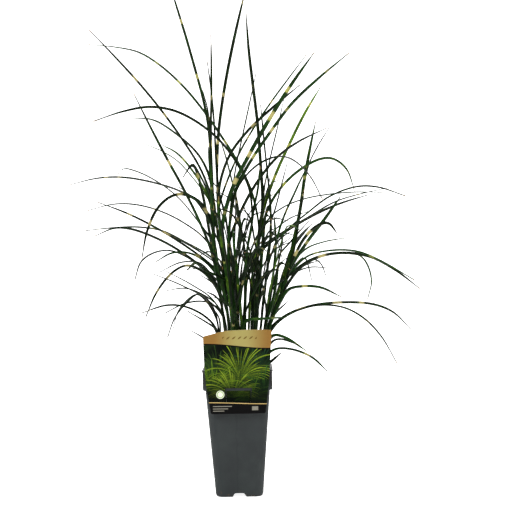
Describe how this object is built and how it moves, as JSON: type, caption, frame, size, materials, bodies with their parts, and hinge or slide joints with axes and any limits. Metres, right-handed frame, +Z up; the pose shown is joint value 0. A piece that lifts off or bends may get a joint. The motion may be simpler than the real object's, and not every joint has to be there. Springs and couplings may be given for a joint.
{
  "type": "potted little zebra miscanthus",
  "caption": "Young ornamental grass with arching cross-banded blades, growing in a deep square nursery pot of soil with a plain printed tag on its front.",
  "frame": {"origin": "middle of the pot's foot, on the surface that it stands on", "axes": "+Z up, -Y towards the viewer and the tag, +X to the viewer's right"},
  "size_m": [0.5832, 0.3729, 0.8497],
  "materials": {
    "pot_plastic": "satin",
    "potting_mix": "matte",
    "printed_tag": "satin",
    "grass": "satin"
  },
  "bodies": {
    "root": {"pot": "pot_plastic", "soil": "potting_mix", "label": "printed_tag", "tiller_01": "grass", "tiller_02": "grass", "tiller_03": "grass", "tiller_04": "grass", "tiller_05": "grass", "tiller_06": "grass", "tiller_07": "grass", "tiller_08": "grass", "tiller_09": "grass", "tiller_10": "grass", "tiller_11": "grass", "tiller_12": "grass", "tiller_13": "grass", "tiller_14": "grass", "tiller_15": "grass", "tiller_16": "grass", "tiller_17": "grass", "tiller_18": "grass", "tiller_19": "grass", "tiller_20": "grass", "tiller_21": "grass", "tiller_22": "grass", "tiller_23": "grass", "tiller_24": "grass", "tiller_25": "grass", "tiller_26": "grass", "tiller_27": "grass", "tiller_28": "grass", "tiller_29": "grass", "tiller_30": "grass", "tiller_31": "grass", "tiller_32": "grass", "tiller_33": "grass", "tiller_34": "grass", "tiller_35": "grass"}
  },
  "joints": []
}
